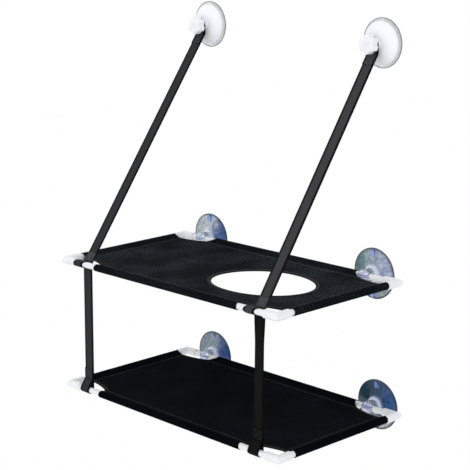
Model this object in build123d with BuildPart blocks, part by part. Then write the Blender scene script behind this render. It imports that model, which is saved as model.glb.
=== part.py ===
from build123d import *
from math import cos, radians, sin
import os

# Window mounted cat perch with two decks, in millimetres.
# The glass is the plane Y = 0 and the room lies on its -Y side. +Z is up, and Z = 0 is the height of
# the upper deck's rear tube.

os.makedirs("parts", exist_ok=True)

# Decks, measured between tube axes
deck_width = 550
deck_depth = 290
deck_drop = 240
glass_to_tube = 24

# Tubes, and the elbows that they push into
tube_diameter = 11
tube_wall = 1.2
elbow_diameter = 15
elbow_reach = 27
elbow_passage_diameter = 8
elbow_mouth_round = 1
socket_depth = 17
push_fit_clearance = 0.05
seat_gap = 0.1

# Mesh slings
cloth_thickness = 1
hem_thickness = 1.8
hem_width = 6
sleeve_clearance = 0.3
sleeve_seam_distance = 16
sleeve_pocket_end = 13
sleeve_pocket_tip_radius = 0.15
front_scoop_length = 89
front_scoop_depth = 35
rear_scoop_length = 92
rear_scoop_depth = 28
hole_width = 208
hole_depth = 155
hole_from_right = 177
hole_from_front = 142

# Webbing
webbing_width = 25
webbing_thickness = 1.3
left_strap_inset = 46.5
right_strap_inset = 52.5
left_anchor_inset = 61
right_anchor_inset = 57
left_anchor_height = 416
right_anchor_height = 404
strap_clearance = 0.3
wrap_clearance = 0.1
sewn_patch_length = 20
tab_length = 6
strap_bend_radius = 6
strap_bend_steps = 4
wrap_opening_degrees = 16
wrap_steps = 24
lower_loop_steps = 10
lower_loop_lean_degrees = 35

# Suction cups: what all six have alike
cup_rim_thickness = 1.6
cup_contact_width = 7
cup_cavity_depth = 4

# Rear cups, which carry the decks' rear tubes in eyelets
upper_left_cup_inset = 52
upper_right_cup_inset = 72
lower_left_cup_inset = 57
lower_right_cup_inset = 62
rear_cup_diameter = 92
rear_neck_diameter = 24
rear_neck_end_wall = 3.5
rear_neck_round = 3
rear_shoulder_height = 13
eyelet_clearance = 0.06
release_tab_width = 9
release_tab_length = 11
release_tab_height = 6.5
release_tab_inset = 2
release_tab_round = 0.8

# Upper cups, with their studs, pressure covers and knobs
upper_cup_diameter = 86
upper_hub_diameter = 18
upper_shoulder_height = 9
upper_hub_height = 12
stud_diameter = 8
stud_head_diameter = 14
stud_head_thickness = 3
stud_head_height = 6
stud_end_height = 40.5
stud_end_chamfer = 0.8
moulding_clearance = 0.05
cover_diameter = 75
cover_rim_height = 5
cover_neck_diameter = 20
cover_shoulder_height = 18
cover_height = 24.5
cover_wall = 2.5
cover_gap = 0.1
cover_neck_chamfer = 0.8
stud_hole_clearance = 0.4
thread_clearance = 0.06
thread_end_gap = 0.5
knob_collar_diameter = 22
knob_collar_height = 2
knob_diameter = 33
knob_end_wall = 3
knob_front_round = 1.8
knob_back_round = 0.8
knob_lobe_count = 6
knob_lobe_round = 2.5
knob_flute_radius = 6
knob_flute_depth = 2.6

# Every cut runs this far past the faces that it opens
cut_overrun = 10

# Places of a back's two inner control points, as shares of its width and its rise
flare_rim_width_share = 0.35
flare_rim_rise_share = 0.3
flare_neck_width_share = 0.12
flare_neck_rise_share = 0.5
dome_rim_width_share = 0.1
dome_rim_rise_share = 0.55
dome_neck_width_share = 0.5
dome_neck_rise_share = 0.95

# Sizes and places that follow from the driving dimensions
tube_radius = tube_diameter / 2
elbow_radius = elbow_diameter / 2
corner_to_tube_end = elbow_reach - socket_depth + seat_gap
rear_y = -glass_to_tube
front_y = rear_y - deck_depth
deck_centre_y = (front_y + rear_y) / 2
side_x = deck_width / 2
panel_width = deck_width - 2 * sleeve_seam_distance
panel_depth = deck_depth - 2 * sleeve_seam_distance
sleeve_bore_radius = tube_radius + sleeve_clearance
sleeve_radius = sleeve_bore_radius + cloth_thickness
hole_centre = (side_x - hole_from_right, front_y + hole_from_front)
decks = {"upper": 0, "lower": -deck_drop}
sides = {"left": -1, "right": 1}
anchors = {
    "left": (left_anchor_inset - side_x, left_anchor_height),
    "right": (side_x - right_anchor_inset, right_anchor_height),
}
strap_centres = {"left": left_strap_inset - side_x, "right": side_x - right_strap_inset}
rear_cup_places = {
    "upper_left": (upper_left_cup_inset - side_x, decks["upper"]),
    "upper_right": (side_x - upper_right_cup_inset, decks["upper"]),
    "lower_left": (lower_left_cup_inset - side_x, decks["lower"]),
    "lower_right": (side_x - lower_right_cup_inset, decks["lower"]),
}


def save(piece, node):
    """Label a finished piece with its node's name and write it"""
    piece.part.label = node
    export_step(piece.part, f"parts/{node}.step")


# Tubes

def tube_ring(start, direction):
    """Ring that a hollow tube is drawn out of, square to its axis"""
    with BuildSketch(Plane(origin=start, z_dir=direction)) as ring:
        Circle(tube_radius)
        Circle(tube_radius - tube_wall, mode=Mode.SUBTRACT)
    return ring.sketch


for deck, height in decks.items():
    for row, tube_y in (("front", front_y), ("rear", rear_y)):
        with BuildPart() as long_tube:
            extrude(
                tube_ring((corner_to_tube_end - side_x, tube_y, height), (1, 0, 0)),
                amount=deck_width - 2 * corner_to_tube_end,
            )
        save(long_tube, f"{deck}_{row}_tube")
    for side, sign in sides.items():
        with BuildPart() as side_tube:
            extrude(
                tube_ring((sign * side_x, front_y + corner_to_tube_end, height), (0, 1, 0)),
                amount=deck_depth - 2 * corner_to_tube_end,
            )
        save(side_tube, f"{deck}_{side}_tube")


# Elbows: a mitred pipe with a socket and a shoulder in each arm

for deck, height in decks.items():
    for row, row_sign, corner_y in (("front", 1, front_y), ("rear", -1, rear_y)):
        for side, sign in sides.items():
            corner = Plane(
                origin=(sign * side_x, corner_y, height),
                x_dir=(-sign, 0, 0),
                z_dir=(0, 0, -sign * row_sign),
            )
            with BuildPart() as elbow:
                with BuildLine(corner) as centreline:
                    Polyline((elbow_reach, 0), (0, 0), (0, elbow_reach))
                mouths = [
                    Plane(origin=centreline.line @ 0, z_dir=centreline.line % 0),
                    Plane(origin=centreline.line @ 1, z_dir=-(centreline.line % 1)),
                ]
                with BuildSketch(mouths[0]):
                    Circle(elbow_radius)
                sweep(path=centreline.line, transition=Transition.RIGHT)
                with BuildSketch(mouths[0]):
                    Circle(elbow_passage_diameter / 2)
                sweep(path=centreline.line, transition=Transition.RIGHT, mode=Mode.SUBTRACT)
                with BuildSketch(*mouths):
                    Circle(tube_radius + push_fit_clearance)
                extrude(amount=socket_depth, mode=Mode.SUBTRACT)
                mouth_faces = elbow.faces().filter_by(GeomType.PLANE).sort_by(SortBy.AREA)[-2:]
                fillet([face.outer_wire().edges()[0] for face in mouth_faces], elbow_mouth_round)
            save(elbow, f"{deck}_{row}_{side}_elbow")


# Slings: a flat panel with a sewn sleeve round each tube, scooped corners and turned hems

def sleeve_section(tube_end, inward, along, radius, tip_radius, reach):
    """Drop shape of a sleeve: round the tube, closing to its seam on the panel's side"""
    with BuildSketch(Plane(origin=tube_end, x_dir=inward, z_dir=along)) as drop:
        with BuildLine():
            CenterArc((0, 0), radius, 0, 360)
            CenterArc((reach, 0), tip_radius, 0, 360)
        make_hull()
    return drop.sketch


def scoops(height, margin):
    """The four corner cut-outs, each an ellipse about its corner, grown by a margin"""
    with BuildSketch(Plane.XY.offset(height)) as ellipses:
        with Locations((-side_x, front_y), (side_x, front_y)):
            Ellipse(front_scoop_length + margin, front_scoop_depth + margin)
        with Locations((-side_x, rear_y), (side_x, rear_y)):
            Ellipse(rear_scoop_length + margin, rear_scoop_depth + margin)
    return ellipses.sketch


def hole(height, margin):
    """The oval hole of the upper sling, grown by a margin"""
    with BuildSketch(Plane.XY.offset(height)) as oval:
        with Locations(hole_centre):
            Ellipse(hole_width / 2 + margin, hole_depth / 2 + margin)
    return oval.sketch


for deck, height in decks.items():
    sleeve_runs = [
        ((-side_x, front_y, height), (0, 1, 0), (1, 0, 0), deck_width),
        ((-side_x, rear_y, height), (0, -1, 0), (1, 0, 0), deck_width),
        ((-side_x, front_y, height), (1, 0, 0), (0, 1, 0), deck_depth),
        ((side_x, front_y, height), (-1, 0, 0), (0, 1, 0), deck_depth),
    ]
    with BuildPart() as sling:
        with BuildSketch(Plane.XY.offset(height - cloth_thickness / 2)):
            with Locations((0, deck_centre_y)):
                Rectangle(panel_width, panel_depth)
        extrude(amount=cloth_thickness)
        with BuildSketch(Plane.XY.offset(height - hem_thickness / 2)):
            add(scoops(0, hem_width))
            if deck == "upper":
                add(hole(0, hem_width))
            with Locations((0, deck_centre_y)):
                Rectangle(panel_width, panel_depth, mode=Mode.INTERSECT)
        extrude(amount=hem_thickness)
        for tube_end, inward, along, length in sleeve_runs:
            outside = sleeve_section(
                tube_end, inward, along, sleeve_radius, cloth_thickness / 2, sleeve_seam_distance
            )
            extrude(outside, amount=length)
        for tube_end, inward, along, length in sleeve_runs:
            pocket = sleeve_section(
                tube_end,
                inward,
                along,
                sleeve_bore_radius,
                sleeve_pocket_tip_radius,
                sleeve_pocket_end,
            )
            extrude(pocket, amount=length, mode=Mode.SUBTRACT)
        extrude(scoops(height, 0), amount=cut_overrun, both=True, mode=Mode.SUBTRACT)
        if deck == "upper":
            extrude(hole(height, 0), amount=cut_overrun, both=True, mode=Mode.SUBTRACT)
    save(sling, f"{deck}_sling")


# Cups: every cup is turned about an axis square to the glass

def turning_plane(cup_x, cup_z):
    """Drawing plane through a cup's axis: local X is the radius, local Y the height off the glass"""
    return Plane(origin=(cup_x, 0, cup_z), x_dir=(1, 0, 0), z_dir=(0, 0, -1))


def facing_plane(cup_x, cup_z, lift):
    """Plane parallel to the glass, a given height off it, looking into the room"""
    return Plane(origin=(cup_x, -lift, cup_z), x_dir=(1, 0, 0), z_dir=(0, -1, 0))


def turning_axis(cup_x, cup_z):
    return Axis(origin=(cup_x, 0, cup_z), direction=(0, 1, 0))


def flare_points(radius, rim, neck_radius, shoulder):
    """Control points of a hollowed back, from its rim up to its neck"""
    span = radius - neck_radius
    rise = shoulder - rim
    return [
        (radius, rim),
        (radius - flare_rim_width_share * span, rim + flare_rim_rise_share * rise),
        (neck_radius + flare_neck_width_share * span, rim + flare_neck_rise_share * rise),
        (neck_radius, shoulder),
    ]


def dome_points(radius, rim, neck_radius, shoulder):
    """Control points of a bulging back, from its rim up to its neck"""
    span = radius - neck_radius
    rise = shoulder - rim
    return [
        (radius, rim),
        (radius - dome_rim_width_share * span, rim + dome_rim_rise_share * rise),
        (neck_radius + dome_neck_width_share * span, rim + dome_neck_rise_share * rise),
        (neck_radius, shoulder),
    ]


def cup_section(plane, radius, neck_radius, shoulder, top):
    """Half section of a cup, with a contact ring on the glass and a dished face inside it"""
    with BuildSketch(plane) as section:
        with BuildLine():
            Polyline((radius - cup_contact_width, 0), (radius, 0), (radius, cup_rim_thickness))
            Bezier(*flare_points(radius, cup_rim_thickness, neck_radius, shoulder))
            Polyline((neck_radius, shoulder), (neck_radius, top), (0, top), (0, cup_cavity_depth))
            TangentArc((0, cup_cavity_depth), (radius - cup_contact_width, 0), tangent=(1, 0))
        make_face()
    return section.sketch


def solid_section(plane, back_points, top):
    """Half section of a solid body that stands on the glass, under a back and a neck"""
    radius, rim = back_points[0]
    neck_radius, shoulder = back_points[-1]
    with BuildSketch(plane) as section:
        with BuildLine():
            Polyline((0, 0), (radius, 0), (radius, rim))
            Bezier(*back_points)
            Polyline((neck_radius, shoulder), (neck_radius, top), (0, top), (0, 0))
        make_face()
    return section.sketch


# Rear cups

eyelet_radius = tube_radius + eyelet_clearance
rear_neck_radius = rear_neck_diameter / 2
rear_neck_height = glass_to_tube + eyelet_radius + rear_neck_end_wall
tab_centre_radius = rear_cup_diameter / 2 - release_tab_inset - release_tab_length / 2

for place, (cup_x, height) in rear_cup_places.items():
    with BuildPart() as rear_cup:
        profile = cup_section(
            turning_plane(cup_x, height),
            rear_cup_diameter / 2,
            rear_neck_radius,
            rear_shoulder_height,
            rear_neck_height,
        )
        revolve(profile, axis=turning_axis(cup_x, height))
        fillet(rear_cup.edges().filter_by(GeomType.CIRCLE).sort_by(Axis.Y)[0], rear_neck_round)
        with BuildSketch(facing_plane(cup_x, height, cup_rim_thickness)):
            with Locations((0, -tab_centre_radius), (0, tab_centre_radius)):
                SlotOverall(release_tab_length, release_tab_width, rotation=90)
        extrude(amount=release_tab_height - cup_rim_thickness)
        fillet(rear_cup.edges(Select.LAST).group_by(Axis.Y)[0], release_tab_round)
        with BuildSketch(Plane.YZ.offset(cup_x)):
            with Locations((rear_y, height)):
                Circle(eyelet_radius)
        extrude(amount=rear_neck_radius + cut_overrun, both=True, mode=Mode.SUBTRACT)
    save(rear_cup, f"{place}_rear_cup")


# Upper cups: a clear cup with a stud moulded into its hub, a pressure cover over it, and a knob

upper_cup_radius = upper_cup_diameter / 2
upper_hub_radius = upper_hub_diameter / 2
tab_height = cover_height + seat_gap
knob_base_height = tab_height + 2 * webbing_thickness + seat_gap
knob_body_height = knob_base_height + knob_collar_height
knob_bore_end = stud_end_height + thread_end_gap
knob_top_height = knob_bore_end + knob_end_wall
knob_radius = knob_diameter / 2


def stud_section(plane, growth, end):
    """Half section of a headed stud, grown all round by a clearance"""
    head_base = stud_head_height - growth
    head_top = stud_head_height + stud_head_thickness + growth
    with BuildSketch(plane) as section:
        with BuildLine():
            Polyline(
                (0, head_base),
                (stud_head_diameter / 2 + growth, head_base),
                (stud_head_diameter / 2 + growth, head_top),
                (stud_diameter / 2 + growth, head_top),
                (stud_diameter / 2 + growth, end),
                (0, end),
                (0, head_base),
            )
        make_face()
    return section.sketch


for side, (anchor_x, anchor_height) in anchors.items():
    plane = turning_plane(anchor_x, anchor_height)
    axis = turning_axis(anchor_x, anchor_height)

    with BuildPart() as upper_cup:
        profile = cup_section(
            plane, upper_cup_radius, upper_hub_radius, upper_shoulder_height, upper_hub_height
        )
        revolve(profile, axis=axis)
        pocket = stud_section(plane, moulding_clearance, stud_end_height)
        revolve(pocket, axis=axis, mode=Mode.SUBTRACT)
    save(upper_cup, f"upper_{side}_cup")

    with BuildPart() as stud:
        revolve(stud_section(plane, 0, stud_end_height), axis=axis)
        chamfer(stud.edges().filter_by(GeomType.CIRCLE).sort_by(Axis.Y)[0], stud_end_chamfer)
    save(stud, f"{side}_stud")

    with BuildPart() as cover:
        dome = dome_points(
            cover_diameter / 2, cover_rim_height, cover_neck_diameter / 2, cover_shoulder_height
        )
        revolve(solid_section(plane, dome, cover_height), axis=axis)
        chamfer(cover.edges().filter_by(GeomType.CIRCLE).sort_by(Axis.Y)[0], cover_neck_chamfer)
        hollow = dome_points(
            cover_diameter / 2 - cover_wall,
            cover_rim_height,
            cover_neck_diameter / 2,
            cover_shoulder_height - 2 * cover_wall,
        )
        revolve(
            solid_section(plane, hollow, cover_shoulder_height - cover_wall),
            axis=axis,
            mode=Mode.SUBTRACT,
        )
        seat = flare_points(
            upper_cup_radius + cover_gap,
            cup_rim_thickness + cover_gap,
            upper_hub_radius + cover_gap,
            upper_shoulder_height + cover_gap,
        )
        revolve(
            solid_section(plane, seat, upper_hub_height + cover_gap), axis=axis, mode=Mode.SUBTRACT
        )
        with BuildSketch(facing_plane(anchor_x, anchor_height, 0)):
            Circle(stud_diameter / 2 + stud_hole_clearance)
        extrude(amount=cover_height + cut_overrun, mode=Mode.SUBTRACT)
    save(cover, f"{side}_pressure_cover")

    with BuildPart() as knob:
        with BuildSketch(facing_plane(anchor_x, anchor_height, knob_body_height)) as lobes:
            Circle(knob_radius)
            with PolarLocations(knob_radius + knob_flute_radius - knob_flute_depth, knob_lobe_count):
                Circle(knob_flute_radius, mode=Mode.SUBTRACT)
            fillet(lobes.vertices(), knob_lobe_round)
        extrude(amount=knob_top_height - knob_body_height)
        fillet(knob.faces().sort_by(Axis.Y)[0].edges(), knob_front_round)
        fillet(knob.faces().sort_by(Axis.Y)[-1].edges(), knob_back_round)
        with BuildSketch(facing_plane(anchor_x, anchor_height, knob_base_height)):
            Circle(knob_collar_diameter / 2)
        extrude(amount=knob_collar_height)
        with BuildSketch(facing_plane(anchor_x, anchor_height, knob_base_height)):
            Circle(stud_diameter / 2 + thread_clearance)
        extrude(amount=knob_bore_end - knob_base_height, mode=Mode.SUBTRACT)
    save(knob, f"{side}_knob")


# Webbing: each length is a chain of flat sections whose width lies along X

def webbing_sections(route, layers=1):
    """Sections of webbing along a route, mitred where it turns, with more layers on its upper side"""
    points = [Vector(*point) for point in route]
    steps = [after - before for before, after in zip(points, points[1:])]
    runs = [Vector(0, step.Y, step.Z).normalized() for step in steps]
    thickness = layers * webbing_thickness
    lift = (thickness - webbing_thickness) / 2
    sections = []
    for point, before, after in zip(points, runs[:1] + runs, runs + runs[-1:]):
        direction = (before + after).normalized()
        mitre = direction.dot(after)
        outward = direction.cross(Vector(1, 0, 0))
        with BuildSketch(
            Plane(origin=point + outward * (lift / mitre), x_dir=(1, 0, 0), z_dir=direction)
        ) as section:
            Rectangle(webbing_width, thickness / mitre)
        sections.append(section.sketch)
    return sections


def rounded(before, corner, after, radius, steps):
    """Points of an arc that rounds a route's corner in the YZ plane"""
    arriving = (corner - before).normalized()
    leaving = (after - corner).normalized()
    half_turn = radians(arriving.get_angle(leaving) / 2)
    inward = (leaving - arriving).normalized()
    centre = corner + inward * (radius / cos(half_turn))
    middle = -inward
    across = (arriving + leaving).normalized()
    angles = [half_turn * (2 * step / steps - 1) for step in range(steps + 1)]
    return [centre + (middle * cos(angle) + across * sin(angle)) * radius for angle in angles]


def around_tube(tube_x, tube_z, radius, start_degrees, end_degrees, steps, shift=0):
    """Points round a front tube, 0 degrees at its back and 90 on top, drifting to -X at the front"""
    points = []
    for step in range(steps + 1):
        angle = radians(start_degrees + (end_degrees - start_degrees) * step / steps)
        drift = shift * (1 - cos(angle)) / 2
        points.append((tube_x - drift, front_y + radius * cos(angle), tube_z + radius * sin(angle)))
    return points


wrap_radius = tube_radius + wrap_clearance + webbing_thickness / 2
hanger_radius = wrap_radius + webbing_thickness + strap_clearance
lower_loop_radius = tube_radius + strap_clearance + webbing_thickness / 2
wrap_drift = webbing_width / 2
strap_foot_height = strap_clearance + webbing_thickness / 2
tab_y = -(tab_height + webbing_thickness / 2)

for side, strap_x in strap_centres.items():
    anchor_x, anchor_height = anchors[side]
    hung_x = strap_x + wrap_drift / 2

    # Slanting strap, from the tab under the knob down to the back of the upper front tube
    tab_end = Vector(anchor_x, tab_y, anchor_height - tab_length)
    bend = Vector(anchor_x, tab_y, anchor_height - knob_radius)
    foot = Vector(hung_x, front_y + hanger_radius, strap_foot_height)
    slant = (foot - bend).normalized()
    curve = rounded(tab_end, bend, foot, strap_bend_radius, strap_bend_steps)
    patch_end = curve[-1] + slant * sewn_patch_length
    foot_patch_start = foot - slant * (sewn_patch_length + webbing_thickness)
    foot_patch_end = foot - slant * (2 * webbing_thickness)
    with BuildPart() as support_strap:
        with BuildSketch(facing_plane(anchor_x, anchor_height, tab_height)):
            Circle(webbing_width / 2)
            with Locations((0, -tab_length / 2)):
                Rectangle(webbing_width, tab_length)
            Circle(stud_diameter / 2 + stud_hole_clearance, mode=Mode.SUBTRACT)
        extrude(amount=2 * webbing_thickness)
        loft(webbing_sections([tab_end, *curve, patch_end], 2), ruled=True)
        loft(webbing_sections([patch_end, foot_patch_start]), ruled=True)
        loft(webbing_sections([foot_patch_start, foot_patch_end], 2), ruled=True)
        loft(webbing_sections([foot_patch_end, foot]), ruled=True)
    save(support_strap, f"{side}_support_strap")

    # Turn of webbing round the upper front tube, which drifts half its width towards -X at the front
    with BuildPart() as strap_turn:
        turn = around_tube(
            hung_x,
            0,
            wrap_radius,
            wrap_opening_degrees / 2,
            360 - wrap_opening_degrees / 2,
            wrap_steps,
            wrap_drift,
        )
        loft(webbing_sections(turn), ruled=True)
    save(strap_turn, f"{side}_strap_turn")

    # Hanging strap: down behind the lower front tube, round it, and sewn back to itself above
    hanger_top = Vector(hung_x, front_y + hanger_radius, 0)
    loop_start = Vector(strap_x, front_y + lower_loop_radius, -deck_drop)
    drop = (loop_start - hanger_top).normalized()
    lean = radians(lower_loop_lean_degrees)
    closing_run = (lower_loop_radius * (1 + cos(lean)) - webbing_thickness) / sin(lean)
    loop = around_tube(
        strap_x,
        -deck_drop,
        lower_loop_radius,
        0,
        -180 - lower_loop_lean_degrees,
        lower_loop_steps,
    )
    closing_end = Vector(*loop[-1]) + Vector(0, sin(lean), cos(lean)) * closing_run
    seam_end = hanger_top + drop * (closing_end.Z / drop.Z)
    seam_start = seam_end - drop * sewn_patch_length
    with BuildPart() as hanging_strap:
        loft(webbing_sections([hanger_top, seam_start]), ruled=True)
        loft(webbing_sections([seam_start, seam_end], 2), ruled=True)
        loft(webbing_sections([seam_end, loop_start]), ruled=True)
        loft(webbing_sections([*loop, closing_end]), ruled=True)
    save(hanging_strap, f"{side}_hanging_strap")
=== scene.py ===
from math import asin, atan2, cos, pi, radians, sin, sqrt

import bmesh
import bpy
from mathutils import Matrix, Vector, noise
from mathutils.geometry import delaunay_2d_cdt


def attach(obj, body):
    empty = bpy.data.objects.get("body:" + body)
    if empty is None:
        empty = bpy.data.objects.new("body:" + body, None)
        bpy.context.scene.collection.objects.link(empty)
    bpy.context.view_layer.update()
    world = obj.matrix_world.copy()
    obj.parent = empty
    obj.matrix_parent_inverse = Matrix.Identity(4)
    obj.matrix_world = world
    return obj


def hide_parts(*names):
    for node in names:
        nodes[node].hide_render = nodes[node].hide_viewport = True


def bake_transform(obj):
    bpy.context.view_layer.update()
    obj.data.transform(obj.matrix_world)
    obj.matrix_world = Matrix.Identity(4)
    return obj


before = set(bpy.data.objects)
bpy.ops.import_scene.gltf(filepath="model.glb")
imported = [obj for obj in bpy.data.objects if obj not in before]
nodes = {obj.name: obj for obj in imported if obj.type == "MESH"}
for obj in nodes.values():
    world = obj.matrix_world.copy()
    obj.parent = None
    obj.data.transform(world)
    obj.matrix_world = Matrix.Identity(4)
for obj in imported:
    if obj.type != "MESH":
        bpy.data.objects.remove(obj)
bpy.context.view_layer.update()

# Window mounted cat perch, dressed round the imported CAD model, in metres.
# The glass is the plane Y = 0, the room lies on its -Y side, and +Z is up.

MM = 0.001

# Sizes that the CAD source has too
FRONT_Y = -314 * MM
REAR_Y = -24 * MM
SIDE_X = 275 * MM
DECK_HEIGHTS = {"upper": 0.0, "lower": -240 * MM}
SEAM = 16 * MM
FRONT_SCOOP = (89 * MM, 35 * MM)
REAR_SCOOP = (92 * MM, 28 * MM)
HOLE_CENTRE = Vector((98 * MM, -172 * MM))
HOLE_SIZE = (104 * MM, 77.5 * MM)
WEBBING_WIDTH = 25 * MM
WEBBING_THICKNESS = 1.3 * MM
ANCHORS = {"left": (-214 * MM, 416 * MM), "right": (218 * MM, 404 * MM)}
STRAP_X = {"left": -228.5 * MM, "right": 222.5 * MM}
WRAP_DRIFT = 12.5 * MM
WRAP_RADIUS = 6.25 * MM
HANGER_RADIUS = 7.85 * MM
LOWER_LOOP_RADIUS = 6.45 * MM
TAB_Y = -25.25 * MM
KNOB_RADIUS = 16.5 * MM
PATCH_LENGTH = 20 * MM

# A deck's front and rear rows: the tube's Y, the scoops beside it, and the direction towards the middle
ROWS = {"front": (FRONT_Y, FRONT_SCOOP, 1), "rear": (REAR_Y, REAR_SCOOP, -1)}

# Shape of the dressed cloth. The stitch sizes are length, pitch, width and height.
CLOTH_THICKNESS = 0.9 * MM
SLEEVE_RADIUS = 6.3 * MM
FLAP_DROP = 1.05 * MM
FLAP_END = 21 * MM
SLEEVE_SIDE_STEPS = 4
SLEEVE_TURN_STEPS = 18
CLOTH_GRID = 6 * MM
GRID_MARGIN = CLOTH_GRID * 0.55
EDGE_STEP = 4 * MM
HOLE_STEPS = 112
SAG = {"upper": 6 * MM, "lower": 8 * MM}
WAVE_HEIGHT = 0.6 * MM
WAVE_RATES = (9, 11, 7)
SEAM_LINES = (SEAM + 0.6 * MM, SEAM + 3.4 * MM)
SEAM_STITCH = (2.6 * MM, 3.6 * MM, 0.55 * MM, 0.4 * MM)
BINDING_SEAM = 4.9 * MM
BINDING_HALF_THICKNESS = 1.15 * MM
BEAD_STEPS = 4
BEAD_CORNERS = 6

# Shape of the dressed webbing, with WRAP_GAP and LOOP_LEAN in degrees and SELVEDGE_THICKNESS as a share of
# the webbing's. The right hanging strap turns a little about its own length.
TAPE_STEP = 4 * MM
SLANTING_STEP = 12 * MM
TAB_STEPS = 8
TURN_STEPS = 36
LOOP_STEPS = 16
SECTION_STEPS = 10
SELVEDGE_THICKNESS = 0.45
TAB_BEND_RADIUS = 6 * MM
STRAP_FOOT_HEIGHT = 0.95 * MM
WRAP_GAP = 8
LOOP_LEAN = 35
HANGER_TWIST = {"left": 0.0, "right": radians(9)}
TWIST_START = 10 * MM
TWIST_END = 195 * MM
TWIST_RUN = 50 * MM
BOX_STITCH = (2.0 * MM, 2.7 * MM, 0.6 * MM, 0.4 * MM)
TAB_BOX = (15 * MM, 19 * MM)
END_BOX = (14 * MM, 19 * MM)
SEWING_LIFT = 1.5 * WEBBING_THICKNESS


# Camera at the photograph's angle

AZIMUTH = radians(46.986)
ELEVATION = radians(12.76)
ROLL = radians(-0.866)
DISTANCE = 2.4697
TARGET = Vector((0.0591, -0.2, 0.0798))
LENS = 109.66


def make_camera():
    back = Vector((sin(AZIMUTH) * cos(ELEVATION), -cos(AZIMUTH) * cos(ELEVATION), sin(ELEVATION)))
    right = (-back).cross(Vector((0, 0, 1))).normalized()
    up = right.cross(-back)
    data = bpy.data.cameras.new("camera")
    data.lens = LENS
    data.clip_end = 100
    camera = bpy.data.objects.new("camera", data)
    bpy.context.scene.collection.objects.link(camera)
    across = cos(ROLL) * right + sin(ROLL) * up
    upright = -sin(ROLL) * right + cos(ROLL) * up
    turned = Matrix((across, upright, back)).transposed().to_4x4()
    camera.matrix_world = Matrix.Translation(TARGET + back * DISTANCE) @ turned
    bpy.context.scene.camera = camera


make_camera()


# Materials

class Shader:
    """A node material under construction"""

    def __init__(self, name):
        self.material = bpy.data.materials.new(name)
        self.material.use_nodes = True
        self.tree = self.material.node_tree
        self.surface = self.tree.nodes["Principled BSDF"]

    def node(self, kind, inputs=None, **settings):
        made = self.tree.nodes.new(kind)
        for key, value in settings.items():
            setattr(made, key, value)
        for key, value in (inputs or {}).items():
            self.put(made.inputs[key], value)
        return made

    def put(self, socket, value):
        if isinstance(value, bpy.types.NodeSocket):
            self.tree.links.new(value, socket)
        else:
            socket.default_value = value

    def set(self, **values):
        for key, value in values.items():
            self.put(self.surface.inputs[key.replace("_", " ")], value)

    def math(self, operation, *values):
        made = self.node("ShaderNodeMath", operation=operation)
        for socket, value in zip(made.inputs, values):
            self.put(socket, value)
        return made.outputs[0]

    def ramp(self, factor, *stops):
        made = self.node("ShaderNodeValToRGB", {"Fac": factor})
        elements = made.color_ramp.elements
        while len(elements) < len(stops):
            elements.new(0.5)
        for element, (position, colour) in zip(elements, stops):
            element.position = position
            element.color = (*colour, 1)
        return made.outputs["Color"]

    def rise(self, factor, start, end, low=0.0):
        """low up to start, and 1 from end on"""
        return self.ramp(factor, (start, (low,) * 3), (end, (1, 1, 1)))

    def fall(self, factor, start, end):
        """1 up to start, and 0 from end on"""
        return self.ramp(factor, (start, (1, 1, 1)), (end, (0, 0, 0)))

    def mix(self, factor, first, second, blend_type="MIX"):
        made = self.node("ShaderNodeMix", data_type="RGBA", blend_type=blend_type)
        self.put(made.inputs["Factor"], factor)
        for socket, value in zip((made.inputs[6], made.inputs[7]), (first, second)):
            self.put(socket, (*value, 1) if isinstance(value, tuple) else value)
        return made.outputs[2]

    def noise(self, vector, scale, detail=2.0):
        made = self.node("ShaderNodeTexNoise", {"Vector": vector, "Scale": scale, "Detail": detail})
        return made.outputs["Fac"]

    def bump(self, height, distance, strength=1.0):
        made = self.node("ShaderNodeBump", {"Height": height, "Distance": distance, "Strength": strength})
        return made.outputs["Normal"]

    def object_place(self):
        return self.node("ShaderNodeTexCoord").outputs["Object"]

    def surface_map(self):
        return self.node("ShaderNodeTexCoord").outputs["UV"]

    def split(self, vector):
        made = self.node("ShaderNodeSeparateXYZ", {"Vector": vector})
        return made.outputs


def moulded_plastic(name, colour, shade, roughness, milkiness=0.1):
    """Plastic with faint blotches of a second shade, which lets some light under its skin"""
    shader = Shader(name)
    place = shader.object_place()
    blotches = shader.noise(place, 35.0, 3.0)
    grain = shader.noise(place, 900.0)
    shader.set(
        Base_Color=shader.mix(shader.rise(blotches, 0.35, 0.75), colour, shade),
        Roughness=shader.math("MULTIPLY_ADD", grain, 0.12, roughness),
        Normal=shader.bump(grain, 0.00004),
    )
    shader.surface.inputs["IOR"].default_value = 1.46
    shader.surface.inputs["Subsurface Weight"].default_value = milkiness
    shader.surface.inputs["Subsurface Radius"].default_value = (1.0, 1.0, 1.0)
    shader.surface.inputs["Subsurface Scale"].default_value = 12 * MM
    return shader.material


white_plastic = moulded_plastic("white_plastic", (0.84, 0.855, 0.875), (0.78, 0.80, 0.83), 0.26)
knob_plastic = moulded_plastic("knob_plastic", (0.85, 0.87, 0.92), (0.81, 0.83, 0.88), 0.34, 0.35)
cover_plastic = moulded_plastic("cover_plastic", (0.88, 0.90, 0.94), (0.865, 0.885, 0.93), 0.45, 0.0)


# Edges of the parts of a cup's face, as distances from its middle in shares of the cup's width: the first
# number is where an edge starts to show and the second where it is complete
NECK_EDGE = (0.13, 0.19)
TAB_INNER_EDGE = (0.33, 0.36)
TAB_SIDE = (0.045, 0.06)
HOLLOW_EDGE = (0.39, 0.43)
RIM_FULL = 0.49


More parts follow.
